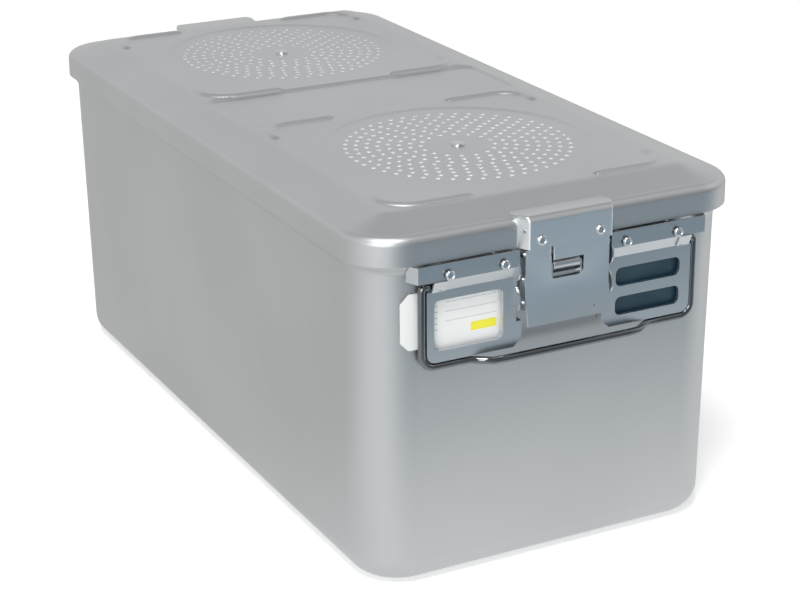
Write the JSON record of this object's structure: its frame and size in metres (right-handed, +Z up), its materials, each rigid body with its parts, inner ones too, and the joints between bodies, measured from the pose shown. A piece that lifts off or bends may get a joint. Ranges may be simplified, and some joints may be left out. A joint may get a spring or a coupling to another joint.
{
  "type": "sterilization container",
  "caption": "Full-size aluminium sterilization container, closed, with a perforated lid, end latches, fold-down wire handles and a label and tag holder.",
  "frame": {"origin": "middle of the footprint on the surface the container stands on", "axes": "+Z up; +Y along the length, with the end that carries the label card and tags facing -Y; +X across the width"},
  "size_m": [0.288, 0.5994, 0.2578],
  "materials": {
    "anodised_tub": "satin anodised",
    "anodised_lid": "satin anodised",
    "silicone": "matte",
    "filter_paper": "matte",
    "stainless": "satin",
    "chrome_wire": "polished",
    "spring_steel": "satin",
    "card": "matte",
    "teal_plastic": "satin"
  },
  "bodies": {
    "container": {"tub": "anodised_tub", "end_plate_front": "stainless", "end_plate_rear": "stainless", "plate_rivets_front": "stainless", "plate_rivets_rear": "stainless", "spring_catch_front": "spring_steel", "spring_catch_rear": "spring_steel"},
    "lid_body": {"lid": "anodised_lid", "lid_gasket": "silicone", "lid_hood_front": "stainless", "lid_hood_rear": "stainless", "hood_rivets_front": "stainless", "hood_rivets_rear": "stainless", "hood_pin_front": "stainless", "hood_pin_rear": "stainless", "hinge_leaf_front": "stainless", "hinge_leaf_rear": "stainless", "retainer_stud_front": "stainless", "retainer_stud_rear": "stainless"},
    "latch_front": {"latch_flap_front": "stainless", "hinge_pin_front": "stainless", "rocker_pin_front": "stainless", "stop_pin_front": "stainless", "rocker_spring_front": "spring_steel"},
    "rocker_front": {"roller_rocker_front": "stainless", "roller_axle_front": "stainless"},
    "roller_front": {"latch_roller_front": "stainless"},
    "handle_front_body": {"handle_front": "chrome_wire"},
    "filter_unit_front": {"filter_front": "filter_paper", "filter_retainer_front": "anodised_lid"},
    "latch_rear": {"latch_flap_rear": "stainless", "hinge_pin_rear": "stainless", "rocker_pin_rear": "stainless", "stop_pin_rear": "stainless", "rocker_spring_rear": "spring_steel"},
    "rocker_rear": {"roller_rocker_rear": "stainless", "roller_axle_rear": "stainless"},
    "roller_rear": {"latch_roller_rear": "stainless"},
    "handle_rear_body": {"handle_rear": "chrome_wire"},
    "filter_unit_rear": {"filter_rear": "filter_paper", "filter_retainer_rear": "anodised_lid"},
    "card_body": {"label_card": "card"},
    "upper_tag_body": {"upper_tag": "teal_plastic"},
    "lower_tag_body": {"lower_tag": "teal_plastic"}
  },
  "joints": [
    {"name": "lid_lift", "type": "slide", "parent": "container", "child": "lid_body", "axis": [0, 0, 1], "range_m": [0, 0.1], "deforming": ["spring_catch_front", "spring_catch_rear"]},
    {"name": "latch_swing_front", "type": "hinge", "parent": "lid_body", "child": "latch_front", "pos_m": [0, -0.291, 0.2242], "axis": [-1, 0, 0], "range_deg": [0, 100]},
    {"name": "rocker_swing_front", "type": "hinge", "parent": "latch_front", "child": "rocker_front", "pos_m": [0, -0.29, 0.2069], "axis": [1, 0, 0], "range_deg": [0, 15], "stiffness_Nm_per_rad": 0.02},
    {"name": "roller_spin_front", "type": "hinge", "parent": "rocker_front", "child": "roller_front", "pos_m": [0, -0.29, 0.2139], "axis": [1, 0, 0], "continuous": true},
    {"name": "handle_swing_front", "type": "hinge", "parent": "container", "child": "handle_front_body", "pos_m": [0, -0.28611, 0.2133], "axis": [-1, 0, 0], "range_deg": [0, 90]},
    {"name": "filter_release_front", "type": "slide", "parent": "lid_body", "child": "filter_unit_front", "axis": [0, 0, -1], "range_m": [0, 0.03]},
    {"name": "latch_swing_rear", "type": "hinge", "parent": "lid_body", "child": "latch_rear", "pos_m": [0, 0.291, 0.2242], "axis": [1, 0, 0], "range_deg": [0, 100]},
    {"name": "rocker_swing_rear", "type": "hinge", "parent": "latch_rear", "child": "rocker_rear", "pos_m": [0, 0.29, 0.2069], "axis": [-1, 0, 0], "range_deg": [0, 15], "stiffness_Nm_per_rad": 0.02},
    {"name": "roller_spin_rear", "type": "hinge", "parent": "rocker_rear", "child": "roller_rear", "pos_m": [0, 0.29, 0.2139], "axis": [1, 0, 0], "continuous": true},
    {"name": "handle_swing_rear", "type": "hinge", "parent": "container", "child": "handle_rear_body", "pos_m": [0, 0.28611, 0.2133], "axis": [1, 0, 0], "range_deg": [0, 90]},
    {"name": "filter_release_rear", "type": "slide", "parent": "lid_body", "child": "filter_unit_rear", "axis": [0, 0, -1], "range_m": [0, 0.03]},
    {"name": "card_slide", "type": "slide", "parent": "container", "child": "card_body", "axis": [-1, 0, 0], "range_m": [0, 0.07]},
    {"name": "upper_tag_slide", "type": "slide", "parent": "container", "child": "upper_tag_body", "axis": [1, 0, 0], "range_m": [0, 0.055]},
    {"name": "lower_tag_slide", "type": "slide", "parent": "container", "child": "lower_tag_body", "axis": [1, 0, 0], "range_m": [0, 0.055]}
  ]
}
